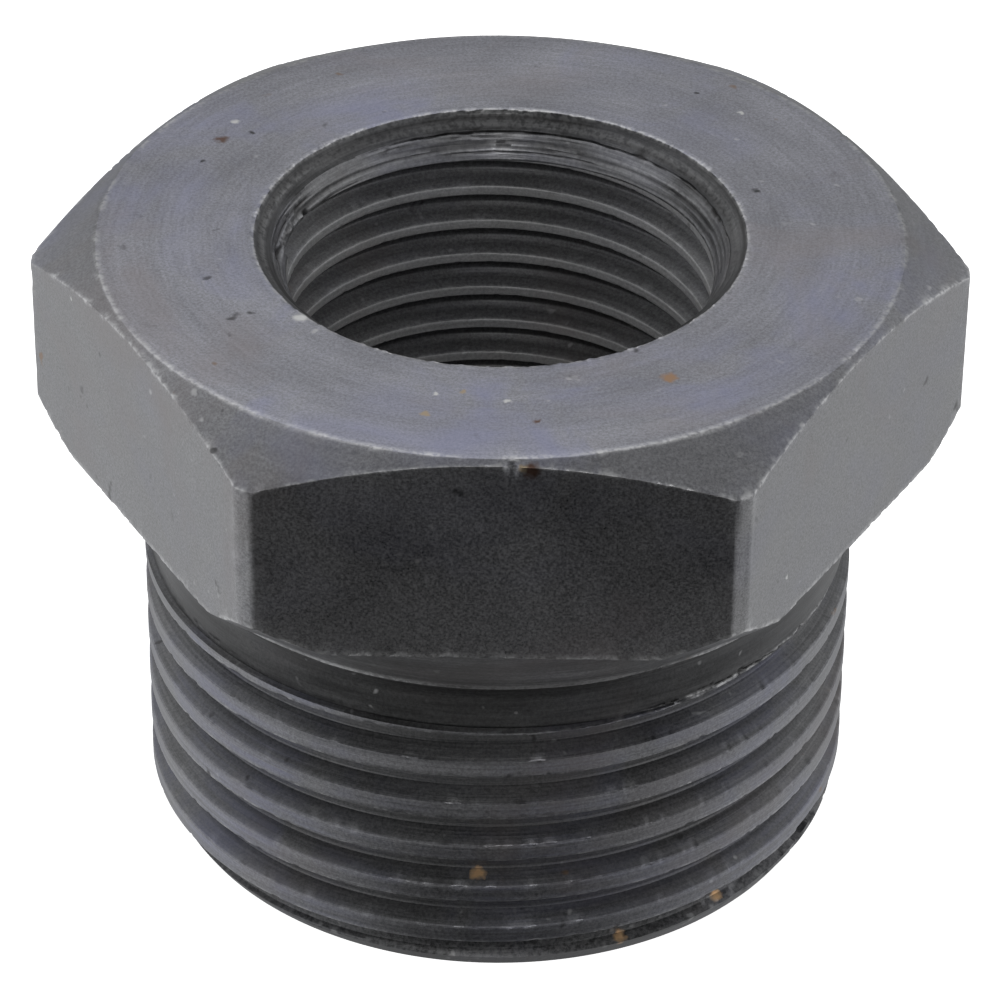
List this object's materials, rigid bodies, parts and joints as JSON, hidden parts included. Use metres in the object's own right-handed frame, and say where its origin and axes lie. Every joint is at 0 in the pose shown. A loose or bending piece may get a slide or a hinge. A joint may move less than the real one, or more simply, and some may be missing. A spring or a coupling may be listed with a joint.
{
  "type": "hexagon reducing bushing",
  "caption": "Blackened steel pipe bushing: hexagon head with a female pipe thread through it, on a neck with a larger parallel male pipe thread.",
  "frame": {"origin": "centre of the lower end face, where the male thread starts", "axes": "+Z along the common axis of both threads, towards the hexagon head; one wrench flat faces -Y and two hexagon corners lie on X"},
  "size_m": [0.0417, 0.0364, 0.0291],
  "materials": {
    "black_steel": "machined steel, blackened and lightly oiled"
  },
  "bodies": {
    "root": {"bushing_body": "black_steel"}
  },
  "joints": []
}
